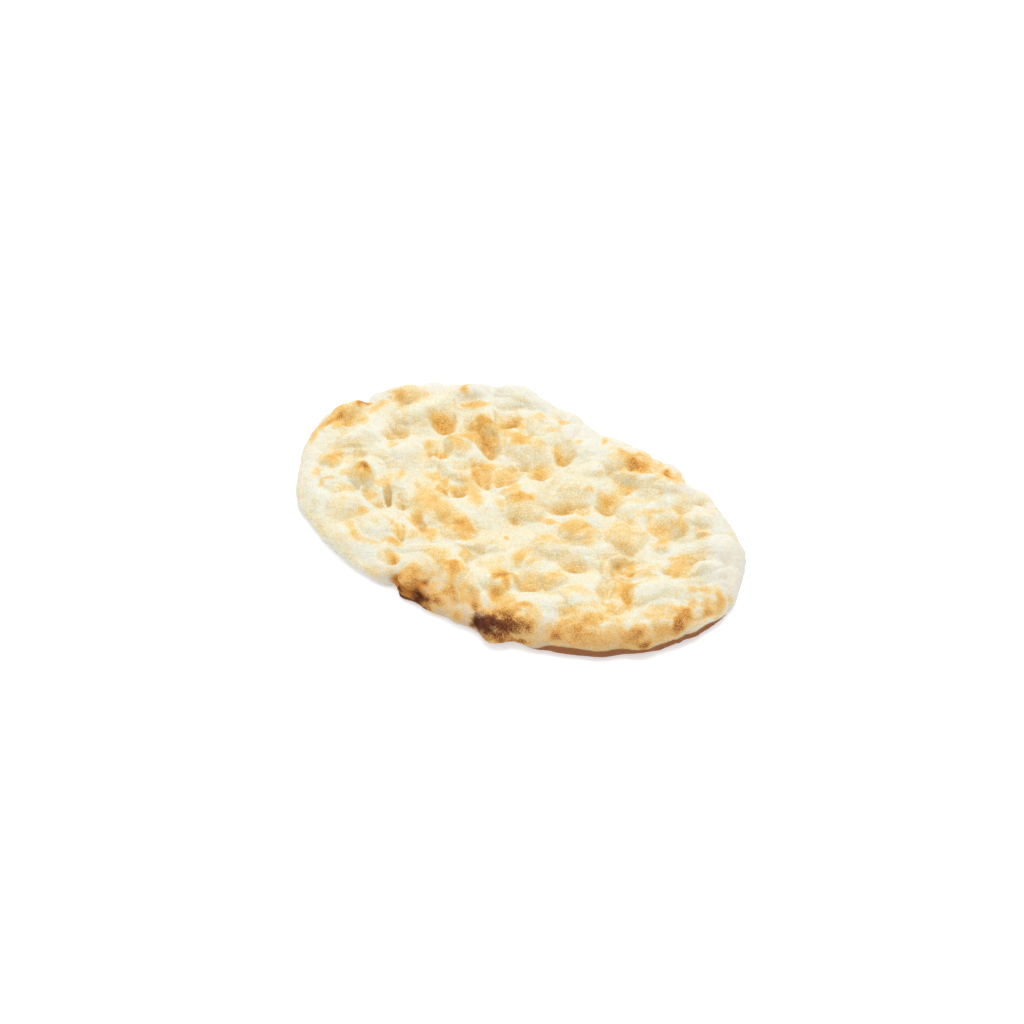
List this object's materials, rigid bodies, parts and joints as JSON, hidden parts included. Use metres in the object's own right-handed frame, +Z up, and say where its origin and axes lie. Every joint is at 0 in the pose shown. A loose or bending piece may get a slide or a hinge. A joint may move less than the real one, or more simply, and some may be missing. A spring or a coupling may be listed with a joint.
{
  "type": "plain pinsa base",
  "caption": "Flat oval of par-baked pinsa dough with finger dimples, oven blisters, curled lips at one end and a flat underside.",
  "frame": {"origin": "on the surface that the base rests on, under the middle of its bounding box", "axes": "+X along the oval's length, +Y across it, +Z up; in the picture +X points to the near right end and -Y to the near edge"},
  "size_m": [0.2922, 0.1864, 0.0253],
  "materials": {
    "baked_dough": "matt baked dough, cream with toasted and scorched patches"
  },
  "bodies": {
    "root": {"pinsa": "baked_dough"}
  },
  "joints": []
}
